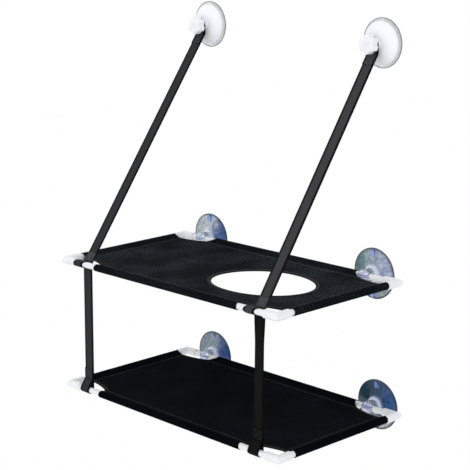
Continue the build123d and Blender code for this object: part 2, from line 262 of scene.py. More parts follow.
def clear_vinyl(
    name, left, middle, right, foot, rim, neck, tab, rim_start=0.45, blotch=0.5, see_through=False
):
    """Soft clear vinyl whose tint goes from left to right across the cup and changes towards its foot,
    which is painted light over the vinyl's own colour, with dark blotches, a rim darkened as painted
    shade, a neck lightened as a painted glint and tinted release tabs. see_through lets light straight
    into the hollow of a pressure cover, but leaves the rim outside it as it is"""
    shader = Shader(name)
    across, _, upward = shader.split(shader.node("ShaderNodeTexCoord").outputs["Generated"])
    from_middle = shader.math("SUBTRACT", across, 0.5)
    away = shader.math(
        "SQRT",
        shader.math(
            "ADD",
            shader.math("POWER", from_middle, 2.0),
            shader.math("POWER", shader.math("SUBTRACT", upward, 0.5), 2.0),
        ),
    )
    place = shader.object_place()
    clouds = shader.noise(place, 55.0, 3.0)
    blotches = shader.noise(place, 150.0, 4.0)
    grain = shader.noise(place, 260.0)
    shift = shader.math("MULTIPLY_ADD", clouds, 0.8, -0.4)
    # Painted light: the tint across the cup and towards its foot stands for reflections, shade and the
    # background seen through the vinyl
    tint = shader.ramp(shader.math("ADD", across, shift), (0.2, left), (0.5, middle), (0.78, right))
    tint = shader.mix(shader.fall(upward, 0.18, 0.34), tint, foot)
    tint = shader.mix(1.0, tint, shader.rise(blotches, 0.38, 0.62, blotch), "MULTIPLY")
    in_line = shader.fall(shader.math("ABSOLUTE", from_middle), *TAB_SIDE)
    tint = shader.mix(shader.math("MULTIPLY", in_line, shader.rise(away, *TAB_INNER_EDGE)), tint, tab)
    # Painted glint: the neck is lightened
    tint = shader.mix(shader.fall(away, *NECK_EDGE), tint, neck)
    shader.set(
        # Painted shade: the rim is darkened
        Base_Color=shader.mix(shader.rise(away, rim_start, RIM_FULL), tint, rim),
        Roughness=shader.math("MULTIPLY_ADD", grain, 0.12, 0.16),
        Normal=shader.bump(grain, 0.00008),
    )
    shader.surface.inputs["Transmission Weight"].default_value = 0.92
    shader.surface.inputs["IOR"].default_value = 1.42
    shader.surface.inputs["Specular IOR Level"].default_value = 0.3
    if see_through:
        shader.set(Alpha=shader.rise(away, *HOLLOW_EDGE, low=0.4))
    return shader.material


# One blue vinyl painted four ways: each cup carries its own painted reflections and shade, and the lower
# cups are painted darker as painted shade below the upper deck
cup_vinyls = {
    "upper_left_rear_cup": clear_vinyl(
        "vinyl_painted_pale_light",
        left=(0.50, 0.56, 0.60),
        middle=(0.62, 0.66, 0.76),
        right=(0.08, 0.16, 0.40),
        foot=(0.50, 0.54, 0.58),
        rim=(0.04, 0.06, 0.12),
        neck=(0.76, 0.82, 0.97),
        tab=(0.22, 0.38, 0.72),
    ),
    "upper_right_rear_cup": clear_vinyl(
        "vinyl_painted_grey_light",
        left=(0.17, 0.29, 0.30),
        middle=(0.42, 0.52, 0.62),
        right=(0.48, 0.56, 0.76),
        foot=(0.40, 0.48, 0.50),
        rim=(0.05, 0.07, 0.11),
        neck=(0.76, 0.80, 0.97),
        tab=(0.30, 0.36, 0.78),
    ),
    "lower_left_rear_cup": clear_vinyl(
        "vinyl_painted_slate_shade",
        left=(0.22, 0.29, 0.35),
        middle=(0.30, 0.36, 0.46),
        right=(0.04, 0.09, 0.28),
        foot=(0.40, 0.44, 0.48),
        rim=(0.03, 0.05, 0.10),
        neck=(0.74, 0.79, 0.95),
        tab=(0.28, 0.34, 0.50),
    ),
    "lower_right_rear_cup": clear_vinyl(
        "vinyl_painted_deep_shade",
        left=(0.02, 0.06, 0.09),
        middle=(0.015, 0.05, 0.10),
        right=(0.05, 0.12, 0.32),
        foot=(0.50, 0.53, 0.55),
        rim=(0.02, 0.04, 0.09),
        neck=(0.70, 0.75, 0.93),
        tab=(0.16, 0.26, 0.56),
    ),
}
# Painted light on the clear ring round each pressure cover: greys for the background seen through it,
# darker to the right as painted shade, and a thin dark outer line of painted shade
rim_vinyl = clear_vinyl(
    "rim_vinyl",
    left=(0.74, 0.77, 0.78),
    middle=(0.72, 0.75, 0.76),
    right=(0.66, 0.69, 0.70),
    foot=(0.70, 0.73, 0.74),
    rim=(0.20, 0.215, 0.22),
    neck=(0.74, 0.77, 0.78),
    tab=(0.74, 0.77, 0.78),
    rim_start=0.474,
    blotch=0.85,
    see_through=True,
)


PORES_PER_METRE = (400.0, 350.0, 1.0)
SPECKS_PER_METRE = (340.0, 210.0, 1.0)


def mesh_cloth(name, thread, pore, lift):
    """Fine open mesh from the cloth's own map: rows of round pores between raised threads, and specks of
    the lighter colour lift, which show most on the panel inside the seams"""
    shader = Shader(name)
    place = shader.surface_map()
    scaled = shader.node("ShaderNodeMapping", {"Vector": place, "Scale": PORES_PER_METRE}).outputs[0]
    pores = shader.node("ShaderNodeTexVoronoi", {"Vector": scaled, "Scale": 1.0, "Randomness": 0.12})
    pores.voronoi_dimensions = "2D"
    hollow = shader.rise(pores.outputs["Distance"], 0.22, 0.46)
    drift = shader.rise(shader.noise(place, 11.0, 3.0), 0.38, 0.62, 0.2)
    stretched = shader.node("ShaderNodeMapping", {"Vector": place, "Scale": SPECKS_PER_METRE}).outputs[0]
    specks = shader.rise(shader.noise(stretched, 1.0), 0.36, 0.7)
    across, along, _ = shader.split(place)
    from_side = shader.math("SUBTRACT", SIDE_X - SEAM, shader.math("ABSOLUTE", across))
    from_middle = shader.math("ABSOLUTE", shader.math("SUBTRACT", along, (REAR_Y + FRONT_Y) / 2))
    from_end = shader.math("SUBTRACT", (REAR_Y - FRONT_Y) / 2 - SEAM, from_middle)
    on_panel = shader.math("GREATER_THAN", shader.math("MINIMUM", from_side, from_end), 0.0)
    strength = shader.math("MULTIPLY", drift, shader.math("MULTIPLY_ADD", on_panel, 0.65, 0.35))
    threads = shader.mix(shader.math("MULTIPLY", specks, strength), thread, lift)
    shader.set(
        Base_Color=shader.mix(hollow, pore, threads),
        Roughness=0.72,
        Normal=shader.bump(hollow, 0.0003, 0.8),
    )
    shader.surface.inputs["Specular IOR Level"].default_value = 0.005
    return shader.material


# Painted shade: the lower deck's cloth is the same mesh as the upper deck's, with its thread, pore and
# speck colours painted darker for the shade under the upper deck
upper_cloth = mesh_cloth(
    "upper_mesh_cloth", (0.005, 0.007, 0.009), (0.0003, 0.0005, 0.001), (0.058, 0.072, 0.086)
)
lower_cloth = mesh_cloth(
    "lower_mesh_cloth", (0.0022, 0.0034, 0.0048), (0.0002, 0.0003, 0.0005), (0.011, 0.017, 0.024)
)


TWILL_PITCH = 5.5 * MM
TWILL_SLANT = 26.0
YARNS_ACROSS = 16
SELVEDGE_EDGE = (0.28, 0.368)


def woven_tape(name, dark, light, edge, pitch=TWILL_PITCH, slant=TWILL_SLANT):
    """Twill tape: slanting ribs from the tape's own map, whose first part runs across it from 0 to 1"""
    shader = Shader(name)
    place = shader.surface_map()
    across, along = shader.split(place)[0:2]
    ribs = shader.math(
        "SINE",
        shader.math("MULTIPLY_ADD", along, 2 * pi / pitch, shader.math("MULTIPLY", across, slant)),
    )
    ribs = shader.math("MULTIPLY_ADD", ribs, 0.5, 0.5)
    yarns = shader.math("SINE", shader.math("MULTIPLY", across, 2 * pi * YARNS_ACROSS))
    yarns = shader.math("MULTIPLY_ADD", yarns, 0.5, 0.5)
    weave = shader.math("MULTIPLY", ribs, shader.math("MULTIPLY_ADD", yarns, 0.5, 0.5))
    middle = shader.math("ABSOLUTE", shader.math("SUBTRACT", across, 0.5))
    selvedge = shader.rise(middle, *SELVEDGE_EDGE)
    fuzz = shader.noise(place, 500.0, 3.0)
    body = shader.mix(shader.math("MULTIPLY", weave, shader.math("MULTIPLY", fuzz, 2.0)), dark, light)
    shader.set(
        Base_Color=shader.mix(selvedge, body, edge),
        Roughness=0.66,
        Normal=shader.bump(weave, 0.00025, 0.7),
    )
    shader.surface.inputs["Specular IOR Level"].default_value = 0.05
    return shader.material


webbing = woven_tape("webbing", (0.005, 0.005, 0.006), (0.064, 0.067, 0.072), (0.002,) * 3)
# Copies of the same webbing: a lighter one, painted light, for the right slanting strap, and a darker one,
# painted shade, for the right hanging strap
painted_light_webbing = woven_tape("painted_light_webbing", (0.008, 0.008, 0.009), (0.104, 0.105, 0.110), (0.002,) * 3)
painted_shade_webbing = woven_tape(
    "painted_shade_webbing", (0.0015, 0.0014, 0.0013), (0.0080, 0.0077, 0.0073), (0.001,) * 3
)
pale_webbing = woven_tape(
    "pale_webbing", (0.030, 0.034, 0.036), (0.085, 0.092, 0.096), (0.020, 0.022, 0.024)
)
binding_tape = woven_tape(
    "binding_tape", (0.003, 0.003, 0.004), (0.020, 0.021, 0.024), (0.004, 0.004, 0.005), 1.1 * MM, 0.0
)


def sewing_thread(name, colour, light):
    shader = Shader(name)
    twist = shader.noise(shader.object_place(), 2500.0)
    shader.set(
        Base_Color=shader.mix(twist, colour, light),
        Roughness=0.5,
        Normal=shader.bump(twist, 0.00005),
    )
    return shader.material


thread = sewing_thread("sewing_thread", (0.05, 0.055, 0.06), (0.14, 0.15, 0.165))
seam_thread = sewing_thread("seam_sewing_thread", (0.025, 0.028, 0.031), (0.075, 0.082, 0.090))
# Painted shade: the lower deck's seam thread is the upper deck's seam thread painted darker
lower_thread_painted_shade = sewing_thread("sewing_thread_painted_shade", (0.010, 0.011, 0.013), (0.035, 0.038, 0.042))
dark_thread = sewing_thread("dark_sewing_thread", (0.006, 0.006, 0.006), (0.02, 0.019, 0.018))


def plated_metal(name):
    shader = Shader(name)
    haze = shader.noise(shader.object_place(), 400.0)
    shader.set(
        Base_Color=shader.mix(haze, (0.60, 0.61, 0.63), (0.72, 0.73, 0.75)),
        Roughness=shader.math("MULTIPLY_ADD", haze, 0.2, 0.25),
    )
    shader.surface.inputs["Metallic"].default_value = 1.0
    return shader.material


plated = plated_metal("zinc_plating")


# Meshes

def finished(name, vertices, faces, maps, material, body):
    """Make a piece out of a mesh. Without a body it rides on none"""
    mesh = bpy.data.meshes.new(name)
    mesh.from_pydata([tuple(v) for v in vertices], [], faces)
    layer = mesh.uv_layers.new(name="map")
    for loop in mesh.loops:
        layer.data[loop.index].uv = maps[loop.vertex_index]
    mesh.polygons.foreach_set("use_smooth", [True] * len(mesh.polygons))
    mesh.materials.append(material)
    mesh.update()
    piece = bpy.data.objects.new(name, mesh)
    bpy.context.scene.collection.objects.link(piece)
    if body:
        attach(piece, body)
    return piece


class Builder:
    """Vertices, faces and map places of one piece, gathered from several parts"""

    def __init__(self):
        self.vertices = []
        self.faces = []
        self.maps = []

    def grid(self, rows, maps, ring=False, caps=False):
        """Add a grid of points, closed across its rows where it is a ring"""
        first = len(self.vertices)
        wide = len(rows[0])
        for row, map_row in zip(rows, maps):
            self.vertices += [Vector(point) for point in row]
            self.maps += map_row
        for i in range(len(rows) - 1):
            for j in range(wide if ring else wide - 1):
                k = (j + 1) % wide
                a, b = first + i * wide, first + (i + 1) * wide
                self.faces.append((a + j, a + k, b + k, b + j))
        if caps:
            self.faces.append(tuple(first + j for j in reversed(range(wide))))
            last = first + (len(rows) - 1) * wide
            self.faces.append(tuple(last + j for j in range(wide)))

    def finish(self, name, material, body, slot):
        return finished(name, self.vertices, self.faces, self.maps, material, body)


def running_lengths(points):
    """Distance along a line at each of its points"""
    lengths = [0.0]
    for a, b in zip(points, points[1:]):
        lengths.append(lengths[-1] + (b - a).length)
    return lengths


# Slings: a panel that sags a little, with a sleeve of the same cloth sewn round each tube

def scoop_reach(inward, size):
    """How far a scoop reaches along the tube at a distance inward from its axis"""
    return size[0] * sqrt(max(0.0, 1 - (inward / size[1]) ** 2))


def spaced(start, end, step):
    count = max(2, round(abs(end - start) / step))
    return [start + (end - start) * i / count for i in range(count + 1)]


def panel_height(x, y, deck):
    """How low the panel hangs at a point, with faint waves"""
    half_width = SIDE_X - SEAM
    half_depth = (REAR_Y - FRONT_Y) / 2 - SEAM
    u = min(1.0, abs(x) / half_width)
    v = min(1.0, abs(y - (REAR_Y + FRONT_Y) / 2) / half_depth)
    shape = (1 - u**2.6) * (1 - v**2.0)
    place = [at * rate for at, rate in zip((x, y, DECK_HEIGHTS[deck]), WAVE_RATES)]
    waves = noise.noise(Vector(place)) * WAVE_HEIGHT
    return -SAG[deck] * shape + waves * min(1.0, 3 * shape)


def sleeve_profile():
    """Points of a sleeve's section, from its seam over the tube and back under to the flap's end, as
    (distance inward from the tube's axis, height)"""
    angle = atan2(sqrt(SEAM**2 - SLEEVE_RADIUS**2), SLEEVE_RADIUS)
    top = Vector((SLEEVE_RADIUS * cos(angle), SLEEVE_RADIUS * sin(angle)))
    points = [Vector((SEAM, 0)).lerp(top, i / SLEEVE_SIDE_STEPS) for i in range(SLEEVE_SIDE_STEPS)]
    turn = 2 * pi - 2 * angle
    for i in range(SLEEVE_TURN_STEPS + 1):
        turned = angle + turn * i / SLEEVE_TURN_STEPS
        points.append(Vector((cos(turned), sin(turned))) * SLEEVE_RADIUS)
    under = Vector((SEAM, -FLAP_DROP))
    bottom = points[-1]
    points += [bottom.lerp(under, (i + 1) / SLEEVE_SIDE_STEPS) for i in range(SLEEVE_SIDE_STEPS)]
    points.append(Vector((FLAP_END, -FLAP_DROP)))
    return points


SLEEVE = sleeve_profile()
SLEEVE_LENGTHS = running_lengths(SLEEVE)


def sleeve_runs():
    """For each sleeve: its place from (along, inward), and the two scoops that end it"""
    def front(along, inward):
        return along, FRONT_Y + inward

    def rear(along, inward):
        return along, REAR_Y - inward

    def left(along, inward):
        return -SIDE_X + inward, along

    def right(along, inward):
        return SIDE_X - inward, along

    turned_front = (FRONT_SCOOP[1], FRONT_SCOOP[0])
    turned_rear = (REAR_SCOOP[1], REAR_SCOOP[0])
    return {
        "front": (front, -SIDE_X, SIDE_X, FRONT_SCOOP, FRONT_SCOOP),
        "rear": (rear, -SIDE_X, SIDE_X, REAR_SCOOP, REAR_SCOOP),
        "left": (left, FRONT_Y, REAR_Y, turned_front, turned_rear),
        "right": (right, FRONT_Y, REAR_Y, turned_front, turned_rear),
    }


def sleeve_row(run, inward):
    """Places along a sleeve at a distance inward from the tube's axis"""
    place, low, high, low_scoop, high_scoop = run
    start = low + scoop_reach(inward, low_scoop)
    end = high - scoop_reach(inward, high_scoop)
    count = max(2, round((high - low) / CLOTH_GRID))
    return [place(start + (end - start) * i / count, inward) for i in range(count + 1)]


def scoop_arc(corner_x, corner_y, size, inside_x, inside_y):
    """Points of a scoop's edge between the two seams that it joins"""
    start = asin(SEAM / size[1])
    end = pi / 2 - asin(SEAM / size[0])
    return [
        (corner_x + inside_x * size[0] * cos(a), corner_y + inside_y * size[1] * sin(a))
        for a in spaced(start, end, EDGE_STEP / size[0])
    ]


def oval(growth):
    """The hole's edge, or a line that far outside it"""
    turns = [2 * pi * i / HOLE_STEPS for i in range(HOLE_STEPS)]
    return [
        (
            HOLE_CENTRE.x + (HOLE_SIZE[0] + growth) * cos(turn),
            HOLE_CENTRE.y + (HOLE_SIZE[1] + growth) * sin(turn),
        )
        for turn in turns
    ]


def from_centre(x, y, centre, size):
    """Direction square to an ellipse's edge, away from its centre"""
    return Vector(((x - centre.x) / size[0] ** 2, (y - centre.y) / size[1] ** 2)).normalized()


def inside_scoop(x, y, margin):
    return any(
        ((abs(x) - SIDE_X) / (size[0] + margin)) ** 2 + ((y - row_y) / (size[1] + margin)) ** 2 < 1
        for row_y, size, _ in ROWS.values()
    )


def inside_hole(x, y, margin=0.0):
    away = ((x - HOLE_CENTRE.x) / (HOLE_SIZE[0] + margin)) ** 2
    return away + ((y - HOLE_CENTRE.y) / (HOLE_SIZE[1] + margin)) ** 2 < 1


def inside_polygon(point, polygon):
    odd = False
    for a, b in zip(polygon, polygon[1:] + polygon[:1]):
        if (a.y > point.y) != (b.y > point.y):
            cross = a.x + (point.y - a.y) / (b.y - a.y) * (b.x - a.x)
            if point.x < cross:
                odd = not odd
    return odd


def scoop_arcs():
    """Each scoop's edge, by the side of the deck (-1 left, 1 right) and the row"""
    return {
        (side, row): scoop_arc(side * SIDE_X, row_y, size, -side, inward)
        for side in (-1, 1)
        for row, (row_y, size, inward) in ROWS.items()
    }


def panel_outline():
    """The panel's edge, once round along its seams and scoops"""
    runs = sleeve_runs()
    arcs = scoop_arcs()
    outline = sleeve_row(runs["front"], SEAM)
    outline += arcs[(1, "front")][1:-1]
    outline += sleeve_row(runs["right"], SEAM)
    outline += arcs[(1, "rear")][::-1][1:-1]
    outline += sleeve_row(runs["rear"], SEAM)[::-1]
    outline += arcs[(-1, "rear")][1:-1]
    outline += sleeve_row(runs["left"], SEAM)[::-1]
    outline += arcs[(-1, "front")][::-1][1:-1]
    return outline


def sling_cloth(deck):
    """The cloth of one deck as a single surface"""
    height = DECK_HEIGHTS[deck]
    holed = deck == "upper"
    outline = panel_outline()
    points = list(outline)
    edges = [(i, (i + 1) % len(outline)) for i in range(len(outline))]
    if holed:
        first = len(points)
        ring = oval(0)
        points += ring
        edges += [(first + i, first + (i + 1) % len(ring)) for i in range(len(ring))]
    inset = SEAM + GRID_MARGIN
    for x in spaced(-SIDE_X + inset, SIDE_X - inset, CLOTH_GRID):
        for y in spaced(FRONT_Y + inset, REAR_Y - inset, CLOTH_GRID):
            if not inside_scoop(x, y, GRID_MARGIN) and not (holed and inside_hole(x, y, GRID_MARGIN)):
                points.append((x, y))
    flat, _, triangles, *_ = delaunay_2d_cdt([Vector(p) for p in points], edges, [], 0, 1e-7)
    made = Builder()
    made.vertices = [Vector((p.x, p.y, height + panel_height(p.x, p.y, deck))) for p in flat]
    made.maps = [(p.x, p.y) for p in flat]
    polygon = [Vector(p) for p in outline]
    for face in triangles:
        centre = sum((flat[i] for i in face), Vector((0, 0))) / 3
        if inside_polygon(centre, polygon) and not (holed and inside_hole(centre.x, centre.y)):
            made.faces.append(tuple(face))
    for name, run in sleeve_runs().items():
        along = 0 if name in ROWS else 1
        rows, maps = [], []
        for (inward, rise), length in zip(SLEEVE, SLEEVE_LENGTHS):
            row = sleeve_row(run, inward)
            rows.append([Vector((x, y, height + rise)) for x, y in row])
            maps.append([run[0](place[along], SEAM - length) for place in row])
        if name in ("rear", "left"):
            rows = [row[::-1] for row in rows]
            maps = [row[::-1] for row in maps]
        made.grid(rows, maps)
    return made


def weld(piece, distance):
    work = bmesh.new()
    work.from_mesh(piece.data)
    bmesh.ops.remove_doubles(work, verts=work.verts, dist=distance)
    bmesh.ops.recalc_face_normals(work, faces=work.faces)
    work.to_mesh(piece.data)
    work.free()


def thicken(piece, thickness):
    modifier = piece.modifiers.new("thickness", "SOLIDIFY")
    modifier.thickness = thickness
    modifier.offset = 0
    modifier.use_even_offset = False


# Section of a binding, in mm: how far in from the free edge, and how high
BINDING_SECTION = [
    (6.2, 0.55), (6.0, 1.0), (4.0, 1.12), (1.2, 1.15), (0.1, 1.0), (-0.6, 0.55), (-0.75, 0.0),
    (-0.6, -0.55), (0.1, -1.0), (1.2, -1.15), (4.0, -1.12), (6.0, -1.0), (6.2, -0.55),
]


def bound_edge(name, path, inward, deck, closed, body):
    """Binding tape folded over a free edge of the cloth: a flat U, swept along the edge"""
    if closed:
        path, inward = path + path[:1], inward + inward[:1]
    rows, maps = [], []
    for (x, y), direction, run in zip(path, inward, running_lengths([Vector(p) for p in path])):
        row = []
        for reach, rise in BINDING_SECTION:
            px, py = x + direction[0] * reach * MM, y + direction[1] * reach * MM
            row.append(Vector((px, py, DECK_HEIGHTS[deck] + panel_height(px, py, deck) + rise * MM)))
        rows.append(row)
        maps.append([(i / (len(row) - 1), run) for i in range(len(row))])
    made = Builder()
    made.grid(rows, maps, ring=True, caps=not closed)
    piece = made.finish(name, binding_tape, body, "webbing")
    weld(piece, 1e-6)
    return piece


def stitch_row(made, points, normals, stitch):
    """Lay stitches along a line: short rounded beads of thread, sunk at both ends"""
    length, pitch, width, height = stitch
    lengths = running_lengths(points)
    count = int(lengths[-1] / pitch)
    if count < 1:
        return
    spare = (lengths[-1] - count * pitch) / 2
    index = 0
    for k in range(count):
        start = spare + k * pitch + (pitch - length) / 2
        rows, maps = [], []
        for step in range(BEAD_STEPS + 1):
            at = start + length * step / BEAD_STEPS
            while index < len(lengths) - 2 and lengths[index + 1] < at:
                index += 1
            share = (at - lengths[index]) / (lengths[index + 1] - lengths[index])
            here = points[index].lerp(points[index + 1], share)
            up = normals[index].lerp(normals[index + 1], share).normalized()
            along = (points[index + 1] - points[index]).normalized()
            side = along.cross(up).normalized()
            swell = sin(pi * (0.12 + 0.76 * step / BEAD_STEPS))
            row = []
            for corner in range(BEAD_CORNERS):
                angle = 2 * pi * corner / BEAD_CORNERS
                row.append(
                    here + side * cos(angle) * width / 2 * swell
                    + up * (sin(angle) * height / 2 * swell + height * 0.35 * (swell - 0.6))
                )
            rows.append(row)
            maps.append([(0, 0)] * BEAD_CORNERS)
        made.grid(rows, maps, ring=True, caps=True)


def sewn_row(made, deck, places, lift):
    """Stitches on the top or, with a negative lift, the underside of a deck's panel"""
    points = [
        Vector((x, y, DECK_HEIGHTS[deck] + panel_height(x, y, deck) + lift)) for x, y in places
    ]
    stitch_row(made, points, [Vector((0, 0, 1 if lift > 0 else -1))] * len(points), SEAM_STITCH)


def dress_sling(deck):
    """A deck's cloth, its bindings and its stitches"""
    body = f"{deck}_deck"
    holed = deck == "upper"
    material = upper_cloth if holed else lower_cloth
    cloth = sling_cloth(deck).finish(f"{deck}_mesh_sling", material, body, "mesh_cloth")
    weld(cloth, 2e-6)
    thicken(cloth, CLOTH_THICKNESS)
    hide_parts(f"{deck}_sling")
    sewn_arcs = []
    for (side, row), arc in scoop_arcs().items():
        row_y, size, _ = ROWS[row]
        corner = Vector((side * SIDE_X, row_y))
        inward = [from_centre(x, y, corner, size) for x, y in arc]
        side_name = "left" if side < 0 else "right"
        bound_edge(f"{deck}_{row}_{side_name}_binding", arc, inward, deck, False, body)
        sewn_arcs.append(
            [(x + d.x * BINDING_SEAM, y + d.y * BINDING_SEAM) for (x, y), d in zip(arc, inward)]
        )
    if holed:
        ring = oval(0)
        inward = [from_centre(x, y, HOLE_CENTRE, HOLE_SIZE) for x, y in ring]
        bound_edge("upper_hole_binding", ring, inward, deck, True, body)
        ring = oval(BINDING_SEAM)
        ring_stitches = Builder()
        for lift in (BINDING_HALF_THICKNESS, -BINDING_HALF_THICKNESS):
            sewn_row(ring_stitches, deck, ring + ring[:1], lift)
        ring_stitches.finish("upper_hole_stitches", thread, body, "mesh_cloth")
    stitches = Builder()
    for run in sleeve_runs().values():
        for inward in SEAM_LINES:
            row = sleeve_row(run, inward)
            sewn_row(stitches, deck, row, CLOTH_THICKNESS / 2)
            sewn_row(stitches, deck, row, -FLAP_DROP - CLOTH_THICKNESS / 2)
    for arc in sewn_arcs:
        for lift in (BINDING_HALF_THICKNESS, -BINDING_HALF_THICKNESS):
            sewn_row(stitches, deck, arc, lift)
    # The lower deck's stitches take the thread painted darker as painted shade
    yarn = seam_thread if holed else lower_thread_painted_shade
    seams = stitches.finish(f"{deck}_sling_stitches", yarn, body, "mesh_cloth")


for deck in DECK_HEIGHTS:
    dress_sling(deck)


# Webbing

def tape_section(width, thickness):
    """Section of webbing: flat, with thin selvedges, as (across, up, share of the width)"""
    top = []
    for i in range(SECTION_STEPS + 1):
        share = i / SECTION_STEPS
        rise = SELVEDGE_THICKNESS if i in (0, SECTION_STEPS) else 1.0
        top.append(((share - 0.5) * width, rise * thickness / 2, share))
    return top + [(x, -z, share) for x, z, share in reversed(top)]


def tape(made, points, widths=None, lift=0.0, twists=None):
    """Sweep webbing along a line, its width along X. lift raises it off the line, on its upper side, and
    twists turn it about the line"""
    count = len(points)
    runs = [(b - a) for a, b in zip(points, points[1:])]
    runs = [Vector((0, r.y, r.z)).normalized() for r in runs]
    rows, maps, length = [], [], 0.0
    for i, point in enumerate(points):
        before, after = runs[max(0, i - 1)], runs[min(count - 2, i)]
        along = (before + after).normalized()
        outward = along.cross(Vector((1, 0, 0)))
        mitre = max(0.5, along.dot(after))
        if i:
            length += (point - points[i - 1]).length
        width = widths[i] if widths else WEBBING_WIDTH
        section = tape_section(width, WEBBING_THICKNESS)
        centre = point + outward * (lift / mitre)
        across = Vector((1, 0, 0))
        if twists:
            turned = Matrix.Rotation(twists[i], 3, along)
            across, outward = turned @ across, turned @ outward
        rows.append([centre + across * x + outward * z for x, z, _ in section])
        maps.append([(share, length) for _, _, share in section])
    made.grid(rows, maps, ring=True, caps=True)


def eased(share):
    """A smooth step from 0 to 1"""
    share = min(1.0, max(0.0, share))
    return share * share * (3 - 2 * share)


def hanging_twist(height, full):
    """Turn of a hanging strap about its own length at a height: none near either tube, full in between"""
    return full * eased((-height - TWIST_START) / TWIST_RUN) * eased((height + TWIST_END) / TWIST_RUN)


def line(start, end, step):
    count = max(1, round((end - start).length / step))
    return [start.lerp(end, i / count) for i in range(count + 1)]


def rounded(before, corner, after, radius, steps):
    """Points of the arc that rounds a corner"""
    arriving = (corner - before).normalized()
    leaving = (after - corner).normalized()
    half_turn = arriving.angle(leaving) / 2
    inward = (leaving - arriving).normalized()
    centre = corner + inward * (radius / cos(half_turn))
    across = (arriving + leaving).normalized()
    angles = [half_turn * (2 * i / steps - 1) for i in range(steps + 1)]
    return [centre + (-inward * cos(a) + across * sin(a)) * radius for a in angles]


def around_tube(x, z, radius, start, end, steps, shift=0.0):
    """Points round a front tube, 0 degrees at its back and 90 on top, drifting to -X at the front"""
    points = []
    for i in range(steps + 1):
        angle = radians(start + (end - start) * i / steps)
        drift = shift * (1 - cos(angle)) / 2
        points.append(Vector((x - drift, FRONT_Y + radius * cos(angle), z + radius * sin(angle))))
    return points


def rounded_end(points, centre, radius):
    """Widths that give a strap's first points a round end about a centre"""
    widths = []
    for point in points:
        away = point.z - centre.z
        widths.append(2 * sqrt(max(0.04 * radius**2, radius**2 - away**2)) if away > 0 else 2 * radius)
    return widths


def box_stitches(made, centre, along, up, box):
    """A sewn box with its two diagonals"""
    length, width = box
    across = along.cross(up).normalized()
    corners = [
        centre + along * (a * length / 2) + across * (b * width / 2)
        for a, b in ((-1, -1), (-1, 1), (1, 1), (1, -1))
    ]
    lines = [(corners[i], corners[(i + 1) % 4]) for i in range(4)]
    lines += [(corners[0], corners[2]), (corners[1], corners[3])]
    for a, b in lines:
        points = line(a, b, TAPE_STEP)
        stitch_row(made, points, [up] * len(points), BOX_STITCH)


def dress_slanting_strap(side, hung_x):
    """The strap from its knob down to the upper deck, with a sewn patch at either end"""
    anchor_x, anchor_height = ANCHORS[side]
    tab_centre = Vector((anchor_x, TAB_Y, anchor_height))
    tab_tip = tab_centre + Vector((0, 0, WEBBING_WIDTH / 2))
    bend = Vector((anchor_x, TAB_Y, anchor_height - KNOB_RADIUS))
    foot = Vector((hung_x, FRONT_Y + HANGER_RADIUS, STRAP_FOOT_HEIGHT))
    slant = (foot - bend).normalized()
    curve = rounded(tab_centre, bend, foot, TAB_BEND_RADIUS, 4)
    patch_end = curve[-1] + slant * PATCH_LENGTH
    foot_patch_start = foot - slant * (PATCH_LENGTH + WEBBING_THICKNESS)
    foot_patch_end = foot - slant * (2 * WEBBING_THICKNESS)
    tab = [tab_tip.lerp(tab_centre, i / TAB_STEPS) for i in range(TAB_STEPS)] + [tab_centre]

    strap = Builder()
    run = tab + curve + line(curve[-1], foot, SLANTING_STEP)[1:]
    tape(strap, run, rounded_end(run, tab_centre, WEBBING_WIDTH / 2))
    upper_layer = tab + curve + line(curve[-1], patch_end, TAPE_STEP)[1:]
    tape(strap, upper_layer, rounded_end(upper_layer, tab_centre, WEBBING_WIDTH / 2), WEBBING_THICKNESS)
    support = strap.finish(f"{side}_slanting_strap", SLANTING_PAINTED_LIGHT[side], None, "webbing")
    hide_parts(f"{side}_support_strap")
    foot_layer = Builder()
    tape(foot_layer, line(foot_patch_start, foot_patch_end, TAPE_STEP), lift=WEBBING_THICKNESS)
    foot_patch = foot_layer.finish(f"{side}_foot_patch", pale_webbing, None, "webbing")

    up = slant.cross(Vector((1, 0, 0))).normalized()
    sewn = Builder()
    top_middle = curve[-1] + slant * (PATCH_LENGTH * 0.5) + up * SEWING_LIFT
    foot_middle = foot_patch_start.lerp(foot_patch_end, 0.5) + up * SEWING_LIFT
    box_stitches(sewn, top_middle, slant, up, TAB_BOX)
    box_stitches(sewn, foot_middle, slant, up, END_BOX)
    sewing = sewn.finish(f"{side}_strap_stitches", thread, None, "webbing")
    for piece in (support, foot_patch, sewing):
        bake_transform(piece)


def dress_turn(side, hung_x):
    """The turn of webbing round the upper front tube"""
    wrap = Builder()
    tape(wrap, around_tube(hung_x, 0, WRAP_RADIUS, WRAP_GAP, 360 - WRAP_GAP, TURN_STEPS, WRAP_DRIFT))
    turn = wrap.finish(f"{side}_webbing_turn", SLANTING_PAINTED_LIGHT[side], "upper_deck", "webbing")
    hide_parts(f"{side}_strap_turn")


